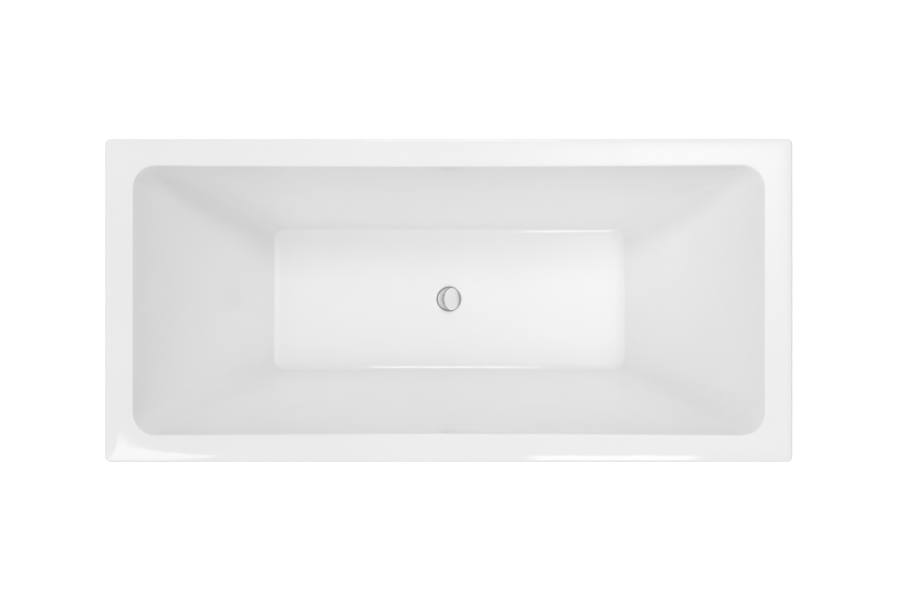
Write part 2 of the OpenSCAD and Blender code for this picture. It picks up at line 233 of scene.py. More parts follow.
class Nodes:
    """One material's node tree, with short calls for the nodes that the finishes share."""

    def __init__(self, name):
        self.material = bpy.data.materials.new(name)
        self.material.use_nodes = True
        self.tree = self.material.node_tree
        self.bsdf = self.tree.nodes["Principled BSDF"]
        self.coords = self.tree.nodes.new("ShaderNodeTexCoord")

    def new(self, kind, **inputs):
        node = self.tree.nodes.new(kind)
        for key, value in inputs.items():
            node.inputs[key.replace("_", " ")].default_value = value
        return node

    def link(self, out, into):
        self.tree.links.new(out, into)

    def stretched(self, scale):
        """Object coordinates scaled per axis, for grain or brushing."""
        mapping = self.new("ShaderNodeMapping")
        mapping.inputs["Scale"].default_value = scale
        self.link(self.coords.outputs["Object"], mapping.inputs["Vector"])
        return mapping.outputs["Vector"]

    def noise(self, scale, detail=3.0, roughness=0.5, vector=None):
        node = self.new("ShaderNodeTexNoise", Scale=scale, Detail=detail, Roughness=roughness)
        self.link(vector or self.coords.outputs["Object"], node.inputs["Vector"])
        return node.outputs["Fac"]

    def ramp(self, fac, stops):
        """A colour ramp from (position, grey or colour) pairs."""
        node = self.new("ShaderNodeValToRGB")
        ramp = node.color_ramp
        while len(ramp.elements) < len(stops):
            ramp.elements.new(0.5)
        for element, (position, colour) in zip(ramp.elements, stops):
            element.position = position
            rgb = colour if isinstance(colour, tuple) else (colour, colour, colour)
            element.color = (*rgb, 1)
        self.link(fac, node.inputs["Fac"])
        return node.outputs["Color"]

    def remap(self, fac, low, high):
        node = self.new("ShaderNodeMapRange")
        node.inputs["To Min"].default_value = low
        node.inputs["To Max"].default_value = high
        self.link(fac, node.inputs["Value"])
        return node.outputs["Result"]

    def bump(self, height, strength, distance, below=None):
        node = self.new("ShaderNodeBump", Strength=strength, Distance=distance)
        self.link(height, node.inputs["Height"])
        if below is not None:
            self.link(below, node.inputs["Normal"])
        return node.outputs["Normal"]

    def finish(self, colour, roughness, normal=None, metallic=0.0, ior=None):
        self.link(colour, self.bsdf.inputs["Base Color"])
        self.link(roughness, self.bsdf.inputs["Roughness"])
        if normal is not None:
            self.link(normal, self.bsdf.inputs["Normal"])
        self.bsdf.inputs["Metallic"].default_value = metallic
        if ior is not None:
            self.bsdf.inputs["IOR"].default_value = ior
        return self.material


def acrylic(name, shade):
    """Gloss white sheet: faint cloudiness, a slow waviness and a fine orange peel."""
    n = Nodes(name)
    cloud = n.noise(3.5, detail=4, roughness=0.6)
    light = shade + 0.02
    colour = n.ramp(cloud, [(0.3, shade), (0.7, (light, light, shade + 0.018))])
    roughness = n.remap(n.noise(9, detail=5, roughness=0.65), 0.02, 0.08)
    slow = n.bump(n.noise(7, detail=2, roughness=0.4), 0.4, 0.002)
    peel = n.bump(n.noise(420, detail=2), 0.05, 0.0004, below=slow)
    return n.finish(colour, roughness, peel, ior=1.49)


def chrome(name, shade, low, high):
    """Bright plate with faint wiping marks and water haze."""
    n = Nodes(name)
    colour = n.ramp(n.noise(40, detail=4), [(0.3, shade - 0.04), (0.7, shade + 0.02)])
    roughness = n.remap(n.noise(90, detail=6, roughness=0.7), low, high)
    normal = n.bump(n.noise(900, detail=2), 0.04, 0.0002)
    return n.finish(colour, roughness, normal, metallic=1.0)


def lacquer():
    """White half-gloss lacquer with a faint ripple and worn, rubbed patches."""
    n = Nodes("white_lacquer")
    rubbed = n.noise(120, detail=5, roughness=0.65)
    colour = n.ramp(rubbed, [(0.3, (0.93, 0.93, 0.925)), (0.7, (0.95, 0.95, 0.945))])
    roughness = n.remap(rubbed, 0.12, 0.3)
    return n.finish(colour, roughness, n.bump(n.noise(300, detail=2), 0.06, 0.0003), ior=1.52)


def laminate():
    """Sprayed glass fibre: chopped strands under a lumpy, half-gloss resin."""
    n = Nodes("laminate_resin")
    strands = n.noise(260, detail=5, roughness=0.75, vector=n.stretched((1.0, 0.22, 0.6)))
    lumps = n.noise(38, detail=4, roughness=0.6)
    resin = [(0.32, (0.58, 0.55, 0.42)), (0.52, (0.7, 0.67, 0.55)), (0.72, (0.82, 0.8, 0.71))]
    colour = n.ramp(strands, resin)
    roughness = n.remap(lumps, 0.32, 0.62)
    coarse = n.bump(lumps, 0.6, 0.004)
    fine = n.bump(strands, 0.35, 0.001, below=coarse)
    return n.finish(colour, roughness, fine)


def timber(name, along):
    """Sawn softwood with grain along one axis."""
    n = Nodes(name)
    scale = [1.0, 1.0, 1.0]
    scale[along] = 0.06
    fibres = n.noise(190, detail=6, roughness=0.7, vector=n.stretched(scale))
    bands = n.noise(34, detail=2, roughness=0.5, vector=n.stretched(scale))
    mixed = n.new("ShaderNodeMath")
    mixed.operation = "MULTIPLY"
    n.link(fibres, mixed.inputs[0])
    n.link(bands, mixed.inputs[1])
    wood = [(0.12, (0.42, 0.26, 0.12)), (0.25, (0.62, 0.42, 0.22)), (0.4, (0.74, 0.55, 0.33))]
    colour = n.ramp(mixed.outputs["Value"], wood)
    roughness = n.remap(fibres, 0.6, 0.85)
    return n.finish(colour, roughness, n.bump(fibres, 0.35, 0.0008))


def chipboard():
    """Pressed chips in three browns."""
    n = Nodes("chipboard")
    chips = n.new("ShaderNodeTexVoronoi", Scale=230.0, Randomness=1.0)
    n.link(n.stretched((0.7, 1.0, 1.6)), chips.inputs["Vector"])
    tone = n.new("ShaderNodeSeparateColor")
    n.link(chips.outputs["Color"], tone.inputs["Color"])
    shade = tone.outputs["Red"]
    colour = n.ramp(shade, [(0.1, (0.34, 0.22, 0.11)), (0.5, (0.52, 0.37, 0.2)), (0.9, (0.66, 0.5, 0.3))])
    roughness = n.remap(shade, 0.7, 0.9)
    return n.finish(colour, roughness, n.bump(chips.outputs["Distance"], 0.3, 0.0006))


def powder_coat():
    """Grey powder coat with a fine pimple texture."""
    n = Nodes("powder_coat")
    pimples = n.noise(800, detail=2)
    colour = n.ramp(n.noise(14, detail=4), [(0.3, (0.2, 0.21, 0.22)), (0.7, (0.27, 0.28, 0.29))])
    roughness = n.remap(pimples, 0.38, 0.55)
    return n.finish(colour, roughness, n.bump(pimples, 0.3, 0.0003))


def zinc():
    """Bright zinc plate with a faint yellow and blue bloom."""
    n = Nodes("zinc_plate")
    bloom = n.noise(60, detail=5, roughness=0.6)
    colour = n.ramp(bloom, [(0.3, (0.62, 0.62, 0.58)), (0.5, (0.7, 0.7, 0.69)), (0.7, (0.6, 0.63, 0.68))])
    roughness = n.remap(n.noise(300, detail=4), 0.24, 0.42)
    return n.finish(colour, roughness, n.bump(bloom, 0.08, 0.0003), metallic=1.0)


def moulded_black(name, grain, rough_low, rough_high):
    """Black moulded plastic or rubber with a fine surface grain and grey scuffs."""
    n = Nodes(name)
    scuffs = n.noise(70, detail=6, roughness=0.7)
    black = [(0.4, (0.014, 0.014, 0.016)), (0.62, (0.03, 0.03, 0.032)), (0.8, 0.07)]
    roughness = n.remap(scuffs, rough_low, rough_high)
    fine = n.bump(n.noise(grain, detail=3), 0.25, 0.0003)
    return n.finish(n.ramp(scuffs, black), roughness, fine)


def studio_floor():
    """A pale, faintly mottled sweep that stays white under the tub."""
    n = Nodes("studio_floor")
    soft = n.noise(2.0, detail=3)
    colour = n.ramp(soft, [(0.3, 0.86), (0.7, 0.88)])
    n.bsdf.inputs["Emission Color"].default_value = (1, 1, 1, 1)
    n.bsdf.inputs["Emission Strength"].default_value = FLOOR_GLOW
    return n.finish(colour, n.remap(soft, 0.7, 0.8))


BASIN_ACRYLIC = acrylic("basin_acrylic", 0.92)
SKIRT_ACRYLIC = acrylic("skirt_acrylic", 0.91)
LAMINATE = laminate()
TIMBER_X = timber("timber_long", 0)
TIMBER_Y = timber("timber_cross", 1)
BOARD = chipboard()
COATED = powder_coat()
ZINC = zinc()
NYLON = moulded_black("nylon_black", 500, 0.42, 0.6)
RUBBER = moulded_black("rubber_black", 900, 0.6, 0.8)
CUP_CHROME = chrome("cup_chrome", 0.7, 0.34, 0.48)
CAP_LACQUER = lacquer()


# ------------ the acrylic shell


class Slope:
    """One wall's section: the floor's fillet and the wall, which leans out towards the rim.

    The fillet may start on a larger radius, up to SOFT_TURN, before it tightens.
    """

    def __init__(self, top, foot, grow=0.0, soft_r=None):
        self.fillet = FLOOR_FILLET + grow
        self.soft_r = soft_r or self.fillet
        self.floor = FLOOR_Z - grow
        self.top = top + grow
        dx = self.top - (foot + grow - self.fillet)
        dz = TOP - self.floor - self.fillet
        lean = math.acos(self.fillet / math.hypot(dx, dz)) - math.atan2(dz, dx)
        bend = 4 * BELLY / (TOP - self.floor)
        self.lean_at_foot = math.atan(math.tan(lean) + bend)
        self.lean_at_top = math.atan(math.tan(lean) - bend)
        run, rise = self.turned(1.0)
        self.foot_z = self.floor + rise
        self.foot_x = self.top - (TOP - self.foot_z) * math.tan(lean)
        self.start = self.foot_x - run

    def turned(self, t):
        """How far the fillet has run and risen at t, from the floor, 0, to the wall, 1."""
        slope = t * (TAU / 4 - self.lean_at_foot)
        run = rise = begun = 0.0
        for limit, r in ((SOFT_TURN, self.soft_r), (slope, self.fillet)):
            end = min(slope, limit)
            if end > begun:
                run += r * (math.sin(end) - math.sin(begun))
                rise += r * (math.cos(begun) - math.cos(end))
                begun = end
        return run, rise

    def on_fillet(self, t):
        run, rise = self.turned(t)
        return self.start + run, self.floor + rise

    def on_wall(self, t):
        """From the fillet, t = 0, to the rim's level, t = 1, with a slight belly between."""
        x = self.foot_x + t * (self.top - self.foot_x) + BELLY * 4 * t * (1 - t)
        return x, self.foot_z + t * (TOP - self.foot_z)

    def edge(self, t, r):
        """Round the rim's inner edge, from the wall, t = 0, to the flat rim, t = 1."""
        lean = self.lean_at_top
        centre = self.top + r * (1 - math.sin(lean)) / math.cos(lean)
        a = lean + t * (TAU / 4 - lean)
        return centre - r * math.cos(a), TOP - r + r * math.sin(a)


def slope_pair(grow, soft_r=None):
    """The end walls' slope and the long walls', for a surface grow outside the basin's face."""
    return (
        Slope(HALF_L - RIM_END, FLOOR_HALF_L, grow, soft_r),
        Slope(HALF_W - RIM_SIDE, FLOOR_HALF_W, grow, soft_r),
    )


def fillet_rings(end, side, grow):
    """Rings up the fillet round the floor."""
    rings = []
    for i in range(FILLET_STEPS + 1):
        xe, ze = end.on_fillet(i / FILLET_STEPS)
        xs, zs = side.on_fillet(i / FILLET_STEPS)
        rings.append(rounded_ring(xe, xs, FLOOR_R + grow, ze, zs))
    return rings


def wall_rings(end, side, grow, last):
    """Rings up the walls; the corners open out from the floor's radius to the rim's."""
    rings = []
    for i in range(1, WALL_STEPS + 1):
        t = last * i / WALL_STEPS
        xe, ze = end.on_wall(t)
        xs, zs = side.on_wall(t)
        r = FLOOR_R + (OPEN_R - FLOOR_R) * t + grow
        rings.append(rounded_ring(xe, xs, r, ze, zs, bow=RIM_BOW * t))
    return rings


def dish_height(p):
    """The floor's rise away from the waste."""
    away = (p.x / FLOOR_HALF_L) ** 2 + 0.6 * (p.y / FLOOR_HALF_W) ** 2
    return DISH * min(away, 1.0)


def floor_rings(outer, inner, steps=16):
    """Rings across the floor from its fillet to the waste's recess."""
    rings = []
    for i in range(1, steps):
        t = i / steps
        rings.append(mix_rings(outer, inner, t * (1.6 - 0.6 * t)))
    return rings


def inner_surface():
    """From the flat rim's inner edge down the walls and floor to the drain hole."""
    end, side = slope_pair(0.0, SOFT_R)
    rings = []
    for i in range(EDGE_STEPS, 0, -1):
        xe, ze = end.edge(i / EDGE_STEPS, INNER_EDGE_R)
        xs, zs = side.edge(i / EDGE_STEPS, INNER_EDGE_R)
        rings.append(rounded_ring(xe, xs, OPEN_R + xe - end.top, ze, zs, bow=RIM_BOW))
    last = (TOP - INNER_EDGE_R - end.foot_z) / (TOP - end.foot_z)
    rings += reversed(wall_rings(end, side, 0.0, last))
    fillet = fillet_rings(end, side, 0.0)
    rings += reversed(fillet)
    mouth = circle_ring(RECESS_R + RECESS_EDGE, FLOOR_Z)
    rings += floor_rings(fillet[0], mouth)
    rings.append(mouth)
    for ring in rings:
        for p in ring:
            if p.z < FLOOR_Z + FLOOR_FILLET:
                keep = 1 - (p.z - FLOOR_Z) / FLOOR_FILLET
                p.z += keep * dish_height(p)
    profile = arc(RECESS_R + RECESS_EDGE, FLOOR_Z - RECESS_EDGE, RECESS_EDGE, 90, 180, 6)[1:]
    profile += arc(RECESS_R - 1.5 * MM, RECESS_Z + 1.5 * MM, 1.5 * MM, 0, -90, 4)
    profile += [(DRAIN_R + 0.5 * MM, RECESS_Z), (DRAIN_R, RECESS_Z - 0.5 * MM)]
    return rings + [circle_ring(r, z) for r, z in profile]


def outer_surface(grow, top):
    """The outside of a basin layer, from the drain hole up to the given height."""
    end, side = slope_pair(grow)
    under = FLOOR_Z - grow
    wide = RECESS_R + grow
    profile = [(DRAIN_R, RECESS_Z - grow)]
    profile += arc(wide - 3 * MM, RECESS_Z - grow + 3 * MM, 3 * MM, -90, 0, 4)
    profile += arc(wide + 2 * MM, under - 2 * MM, 2 * MM, 180, 90, 3)
    rings = [circle_ring(r, z) for r, z in profile]
    fillet = fillet_rings(end, side, grow)
    rings += reversed(floor_rings(fillet[0], rings[-1], steps=8))
    rings += fillet
    last = (top - end.foot_z) / (TOP - end.foot_z)
    return rings + wall_rings(end, side, grow, last)


def outline_ring(depth, z):
    """The tub's outline, drawn in by a depth."""
    return rounded_ring(HALF_L - depth, HALF_W - depth, CORNER_R - depth, z)


def rim_top_rings():
    """The flat rim from its outer roll to its inner edge, falling slightly outwards."""
    end, side = slope_pair(0.0)
    inner_x = end.edge(1.0, INNER_EDGE_R)[0]
    inner_y = side.edge(1.0, INNER_EDGE_R)[0]
    inner = rounded_ring(inner_x, inner_y, OPEN_R + inner_x - end.top, TOP, bow=RIM_BOW)
    outer = outline_ring(EDGE_R, TOP)
    rings = []
    for i in range(1, RIM_STEPS):
        t = i / RIM_STEPS
        ring = mix_rings(outer, inner, t)
        fall = CROWN * max(0.0, 1 - t / 0.6) ** 3
        for p in ring:
            p.z = TOP - fall
        rings.append(ring)
    return rings


def rim_edge_rings():
    """The lip: up its inside, round its foot, up its face and over the rolled edge."""
    foot = TOP - LIP
    under = TOP - SHELL_T
    section = [(SHELL_T + 3 * MM, under), (SHELL_T + 0.9 * MM, under - 0.9 * MM)]
    section += [(SHELL_T, under - 3 * MM), (SHELL_T, foot + 1 * MM), (SHELL_T - 1 * MM, foot)]
    section += [(1 * MM, foot), (0.3 * MM, foot + 0.3 * MM), (0, foot + 1 * MM)]
    top = TOP - CROWN
    for i in range(EDGE_STEPS + 1):
        a = i / EDGE_STEPS * TAU / 4
        section.append((EDGE_R * (1 - math.cos(a)), top - EDGE_R * (1 - math.sin(a))))
    return [outline_ring(depth, z) for depth, z in section]


def build_basin():
    """The acrylic shell: rim, lip, walls and floor as one closed sheet."""
    outside = outer_surface(SHELL_T, TOP - SHELL_T)
    rings = outside + rim_edge_rings() + rim_top_rings() + inner_surface()
    obj = add_mesh("basin_shell", loft_data(rings, closed=True), BASIN_ACRYLIC, smooth_angle=50)
    place(obj, "tub", "inner_shell", slot="acrylic_basin")


def build_laminate():
    """A lumpy layer behind the basin; its lumps only ever stand inwards of the solid's size."""
    inner = outer_surface(SHELL_T + 0.2 * MM, BACKING_TOP)
    outer = outer_surface(SHELL_T + BACKING_T, BACKING_TOP)
    for ring, beneath in zip(outer, inner):
        for p, q in zip(ring, beneath):
            lump = 0.5 + 0.5 * noise.noise(p * 55)
            p.xyz = p.lerp(q, 0.45 * lump)
    obj = add_mesh("laminate_backing", loft_data(outer + inner[::-1], closed=True), LAMINATE, smooth_angle=60)
    place(obj, "tub", "glassfibre_backing", slot="laminate")


def build_skirt():
    """The apron: four faces with round corners, a rolled foot and a tongue inside the lip."""
    inset = HALF_L - skirt_high.x
    inner = inset + 5 * MM
    foot = skirt_low.z
    low = foot + 1.5 * MM
    seam = TOP - LIP - 2 * MM
    tongue = SHELL_T + 0.2 * MM
    tongue_in = tongue + 3.8 * MM
    top = skirt_high.z
    section = [(inner, foot + 1 * MM), (inner - 1 * MM, foot)]
    section += [(inset + 1.5 * MM, foot), (inset + 0.45 * MM, foot + 0.45 * MM)]
    face_steps = 10
    for i in range(face_steps + 1):
        section.append((inset, low + (seam - 1 * MM - low) * i / face_steps))
    section += [(inset + 0.3 * MM, seam - 0.3 * MM), (inset + 1 * MM, seam), (tongue, seam)]
    section += [(tongue, top - 0.5 * MM), (tongue + 0.5 * MM, top), (tongue_in, top)]
    section += [(tongue_in, seam - 8 * MM), (inner, seam - 10 * MM)]
    part = loft_data([outline_ring(depth, z) for depth, z in section], closed=True)
    obj = add_mesh("apron", part, SKIRT_ACRYLIC, smooth_angle=50)
    place(obj, "tub", "outer_skirt", slot="acrylic_skirt")


# ------------ timber and board

PLANK_STEP = 40 * MM
PLANK_CHAMFER = 1.2 * MM


def build_plank(node, along, material):
    """A sawn batten with eased edges and worn faces."""
    low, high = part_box(node)
    length = high[along] - low[along]
    steps = max(8, int(length / PLANK_STEP))
    eased = PLANK_CHAMFER / length
    stations = [(0, PLANK_CHAMFER), (eased, 0)]
    stations += [(i / steps, 0) for i in range(1, steps)]
    stations += [(1 - eased, 0), (1, PLANK_CHAMFER)]
    rings = [plank_ring(low, high - low, along, t, inset) for t, inset in stations]
    obj = add_mesh(node + "_wood", loft_data(rings, capped=True), material)
    place(obj, "tub", node, slot="timber")


def plank_ring(low, size, along, t, inset):
    """A batten's section at a share t of its length: a chamfered rectangle, unevenly worn."""
    u, v = [k for k in range(3) if k != along]
    half_u = size[u] / 2 - inset
    half_v = size[v] / 2 - inset
    ring = []
    for k in range(4):
        for s in (0, 1):
            a = (k + 0.5) * TAU / 4
            cu = math.copysign(half_u, math.cos(a))
            cv = math.copysign(half_v, math.sin(a))
            if (s == 0) == (k % 2 == 0):
                cv -= math.copysign(PLANK_CHAMFER, cv)
            else:
                cu -= math.copysign(PLANK_CHAMFER, cu)
            p = Vector((0, 0, 0))
            p[along] = low[along] + t * size[along]
            wear = 0.35 * MM * (0.5 + 0.5 * noise.noise(Vector((p[along] * 14, k, s))))
            p[u] = low[u] + size[u] / 2 + cu - math.copysign(wear, cu)
            p[v] = low[v] + size[v] / 2 + cv - math.copysign(wear, cv)
            ring.append(p)
    return ring


def build_board():
    """The base board, with eased edges and the round cut-out for the waste."""
    low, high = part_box("base_board")
    hole = 50 * MM
    corner = 15 * MM
    ease = 1 * MM

    def outline(inset, z):
        return rounded_ring(high.x - inset, high.y - inset, corner - inset, z)

    rings = [circle_ring(hole + ease, low.z), outline(ease, low.z), outline(0, low.z + ease)]
    rings += [outline(0, high.z - ease), outline(ease, high.z), circle_ring(hole + ease, high.z)]
    rings += [circle_ring(hole, high.z - ease), circle_ring(hole, low.z + ease)]
    obj = add_mesh("base_board_chips", loft_data(rings, closed=True), BOARD)
    place(obj, "tub", "base_board", slot="board")


# ------------ steel frame


def square_profile(half, r):
    """A square tube's outline with rolled corners."""
    steps = 5
    points = []
    for k in range(4):
        sx = 1 if k in (0, 3) else -1
        sy = 1 if k in (0, 1) else -1
        for i in range(steps + 1):
            a = (k + i / steps) * TAU / 4
            points.append((sx * (half - r) + r * math.cos(a), sy * (half - r) + r * math.sin(a)))
    return points


def build_tube(node, along):
    """Welded square tube with rolled corners and a visible wall at its cut ends."""
    low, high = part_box(node)
    others = [k for k in range(3) if k != along]
    half = (high[others[0]] - low[others[0]]) / 2
    middle = (low + high) / 2
    wall = 2 * MM
    outer = square_profile(half, 3 * MM)
    eased = square_profile(half - 0.3 * MM, 2.7 * MM)
    inner = square_profile(half - wall, 1.2 * MM)

    def ring(profile, position):
        points = []
        for a, b in profile:
            p = Vector((0, 0, 0))
            p[along] = position
            p[others[0]] = middle[others[0]] + a
            p[others[1]] = middle[others[1]] + b
            points.append(p)
        return points

    start, end = low[along], high[along]
    ease = 0.3 * MM
    rings = [ring(inner, start), ring(eased, start), ring(outer, start + ease)]
    rings += [ring(outer, end - ease), ring(eased, end), ring(inner, end)]
    obj = add_mesh(node + "_tube", loft_data(rings, closed=True), COATED)
    place(obj, "tub", node, slot="frame_steel")


def weld_data(start, end):
    """A welded seam: overlapping ripples along a line, as the torch leaves them."""
    r = 2.4 * MM
    start, end = Vector(start), Vector(end)
    axis = (end - start).normalized()
    side = axis.orthogonal().normalized()
    up = axis.cross(side)
    length = (end - start).length
    steps = int(length / (0.6 * MM))
    rings = []
    for i in range(steps + 1):
        t = i / steps
        along = t * length
        ripple = 0.82 + 0.18 * abs(math.sin(along / (2.2 * MM) * math.pi))
        taper = min(1.0, 0.25 + 6 * min(t, 1 - t))
        centre = start + axis * along
        size = r * ripple * taper
        angles = [TAU * k / 10 for k in range(10)]
        rings.append([centre + (side * math.cos(a) + up * math.sin(a)) * size for a in angles])
    return loft_data(rings, capped=True)


def build_welds():
    """Seams where the rails and uprights meet the two long rails."""
    parts = []
    for node in ("cross_rail_left", "cross_rail_right", "end_rail_left", "end_rail_right"):
        low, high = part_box(node)
        for y in (low.y, high.y):
            for x in (low.x, high.x):
                parts.append(weld_data((x, y, low.z + 3 * MM), (x, y, high.z - 3 * MM)))
            parts.append(weld_data((low.x + 3 * MM, y, low.z), (high.x - 3 * MM, y, low.z)))
    for i in range(1, 5):
        low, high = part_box(f"upright_{i}")
        for x in (low.x, high.x):
            parts.append(weld_data((x, low.y + 3 * MM, low.z), (x, high.y - 3 * MM, low.z)))
    obj = add_mesh("frame_welds", merge(*parts), COATED)
    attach(obj, "tub")


def build_bracket(i):
    """A bent steel angle, from the rail's face out over the skirt's batten."""
    node = f"skirt_bracket_{i}"
    low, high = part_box(node)
    mirror = 1 if low.y > 0 else -1
    near = min(abs(low.y), abs(high.y))
    far = max(abs(low.y), abs(high.y))
    t = 3 * MM
    bend = 4 * MM
    profile = [(near, high.z)]
    profile += arc(near + bend, low.z + bend, bend, 180, 270, 5)
    profile += [(far, low.z), (far, low.z + t)]
    profile += arc(near + bend, low.z + bend, bend - t, 270, 180, 5)
    profile += [(near + t, high.z)]
    ease = 0.4 * MM
    rings = []
    for x, inset in ((low.x, ease), (low.x + ease, 0), (high.x - ease, 0), (high.x, ease)):
        ring = []
        for k, (y, z) in enumerate(profile):
            pull = inset if k in (0, len(profile) - 1) else 0
            ring.append(Vector((x, mirror * y, z - pull)))
        rings.append(ring)
    obj = add_mesh(f"bent_angle_{i}", loft_data(rings, capped=True), ZINC, smooth_angle=30)
    place(obj, "tub", node, slot="zinc_steel")


# ------------ fasteners

HEAD_H = 3 * MM


def thread_radius(major, pitch, depth, z):
    """A thread's surface as a radius that depends on angle and height."""

    def radius(a):
        turn = (z / pitch - a / TAU) % 1.0
        return major - depth * min(1.0, max(0.0, abs(2 * turn - 1) * 1.5 - 0.25))

    return radius


def thread_rings(major, pitch, depth, low, high, segments, per_turn=8):
    """Rings up a threaded shank."""
    steps = int((high - low) / pitch * per_turn)
    rings = []
    for i in range(steps + 1):
        z = low + (high - low) * i / steps
        rings.append(radial_ring(thread_radius(major, pitch, depth, z), z, segments))
    return rings


def hexagon(across_flats):
    """A hexagon's radius as a function of the angle."""

    def radius(a):
        return across_flats / 2 / math.cos((a + TAU / 12) % (TAU / 6) - TAU / 12)

    return radius


def capped_hexagon(across_flats, limit):
    """A hexagon turned down to a circle, as a nut's chamfer leaves it."""
    flat = hexagon(across_flats)
    return lambda a: min(flat(a), limit)


def chamfered_end(across_flats, rise, steps):
    """A hexagon's profile from its turned-down end, at height 0, to its full corners."""
    corner = across_flats / 2 / math.cos(TAU / 12)
    small = across_flats / 2 - 0.2 * MM
    shares = [i / steps for i in range(steps + 1)]
    return [(capped_hexagon(across_flats, small + (corner - small) * t), rise * t) for t in shares]


def nut_data(across_flats, height, bore):
    """A chamfered hexagon nut standing on z = 0."""
    corner = across_flats / 2 / math.cos(TAU / 12)
    small = across_flats / 2 - 0.2 * MM
    end = chamfered_end(across_flats, 0.5 * (corner - across_flats / 2), 4)
    profile = [(bore, 0.6 * MM), (bore + 0.6 * MM, 0), (small, 0)] + end
    profile += [(outline, height - z) for outline, z in reversed(end)]
    profile += [(small, height), (bore + 0.6 * MM, height), (bore, height - 0.6 * MM)]
    return lathe_data(profile, segments=72)


def cross_recess(reach, width):
    """The outline of a cross-head driver's recess."""

    def radius(a):
        off = abs((a + TAU / 8) % (TAU / 4) - TAU / 8)
        return min(reach, width / 2 / max(math.sin(off), 1e-3)) if off < 0.7 else width * 0.72

    return radius


def pan_screw_data(shank_r, grip, head_r):
    """A pan-head screw along +Z, head resting on z = 0, with a cross recess and a pointed thread."""
    segments = 64
    pitch = 2.2 * MM
    tip = 5 * MM
    top = HEAD_H - 0.2 * MM
    rings = [radial_ring(0.25 * MM, -grip, segments)]
    for ring in thread_rings(shank_r, pitch, 0.18 * shank_r, -grip + 0.4 * MM, -0.3 * MM, segments, 6):
        scale = min(1.0, (ring[0].z + grip) / tip + 0.1)
        rings.append([Vector((p.x * scale, p.y * scale, p.z)) for p in ring])
    head = [(shank_r, 0), (head_r - 0.3 * MM, 0)]
    head += arc(head_r - 1.6 * MM, HEAD_H - 2.4 * MM, 1.6 * MM, -20, 75, 6)
    head += [(0.62 * head_r, top), (cross_recess(0.52 * head_r, 1.3 * MM), top)]
    head += [(cross_recess(0.3 * head_r, 0.8 * MM), top - 1.5 * MM), (0.1 * MM, top - 1.9 * MM)]
    return loft_data(rings + profile_rings(head, segments), capped=True)


def flange_bolt_data(shank_r, grip, head_r):
    """A hexagon flange bolt along +Z, its flange resting on z = 0."""
    segments = 60
    flats = 1.45 * head_r
    corner = flats / 2 / math.cos(TAU / 12)
    chamfer = 0.5 * MM
    rings = [radial_ring(shank_r - 0.5 * MM, -grip, segments)]
    rings += thread_rings(shank_r, 1 * MM, 0.35 * MM, -grip + 0.5 * MM, -0.3 * MM, segments, 6)
    head = [(shank_r, 0), (head_r - 0.2 * MM, 0), (head_r, 0.25 * MM), (head_r, 0.6 * MM)]
    head += [(hexagon(flats), 1.0 * MM), (hexagon(flats), HEAD_H - chamfer)]
    for i in range(1, 4):
        limit = corner + (0.46 * flats - corner) * i / 3
        head.append((capped_hexagon(flats, limit), HEAD_H - chamfer + chamfer * i / 3))
    head += [(0.3 * flats, HEAD_H), (0.24 * flats, HEAD_H - 0.3 * MM)]
    return loft_data(rings + profile_rings(head, segments), capped=True)


def solid_boxes(node):
    """The boxes of the separate solids in a CAD node, from its loose pieces."""
    mesh = frame["nodes"][node].data
    parent = list(range(len(mesh.vertices)))

    def root(i):
        while parent[i] != i:
            parent[i] = parent[parent[i]]
            i = parent[i]
        return i

    seen = {}
    for v in mesh.vertices:
        key = tuple(round(c, 6) for c in v.co)
        parent[root(v.index)] = root(seen.setdefault(key, v.index))
    for e in mesh.edges:
        parent[root(e.vertices[0])] = root(e.vertices[1])
    groups = {}
    for v in mesh.vertices:
        groups.setdefault(root(v.index), []).append(v.co)
    boxes = []
    for points in groups.values():
        low = Vector([min(p[k] for p in points) for k in range(3)])
        high = Vector([max(p[k] for p in points) for k in range(3)])
        boxes.append((low, high))
    return sorted(boxes, key=lambda b: tuple(b[0]))


def build_bracket_bolts():
    """The bolts through the angles, their heads away from the tub's middle."""
    parts = []
    for low, high in solid_boxes("bracket_bolts"):
        middle = (low + high) / 2
        outward = 1 if middle.y > 0 else -1
        face = high.y - HEAD_H if outward > 0 else low.y + HEAD_H
        grip = high.y - low.y - HEAD_H
        turn = Matrix.Rotation(-outward * TAU / 4, 4, "X")
        bolt = flange_bolt_data(3 * MM, grip, (high.x - low.x) / 2)
        parts.append(moved(bolt, Matrix.Translation((middle.x, face, middle.z)) @ turn))
    obj = add_mesh("flange_bolts", merge(*parts), ZINC)
    place(obj, "tub", "bracket_bolts", slot="zinc_steel")


def build_screws(node, name, shank_r, up):
    """The node's vertical screws, their heads at the top where up is true."""
    parts = []
    for low, high in solid_boxes(node):
        middle = (low + high) / 2
        screw = pan_screw_data(shank_r, high.z - low.z - HEAD_H, (high.x - low.x) / 2)
        seat = high.z - HEAD_H if up else low.z + HEAD_H
        turn = Matrix.Rotation(0 if up else TAU / 2, 4, "X")
        parts.append(moved(screw, Matrix.Translation((middle.x, middle.y, seat)) @ turn))
    obj = add_mesh(name, merge(*parts), ZINC)
    place(obj, "tub", node, slot="zinc_steel")


# ------------ feet

STUD_R = 6 * MM
STUD_PITCH = 1.75 * MM
NUT_FLATS = 19 * MM


def build_nuts(node, name):
    """One M12 nut in each of the node's solids."""
    parts = []
    for low, high in solid_boxes(node):
        middle = (low + high) / 2
        nut = nut_data(NUT_FLATS, high.z - low.z, STUD_R + 0.06 * MM)
        parts.append(moved(nut, Matrix.Translation((middle.x, middle.y, low.z))))
    obj = add_mesh(name, merge(*parts), ZINC)
    place(obj, "tub", node, slot="zinc_steel")


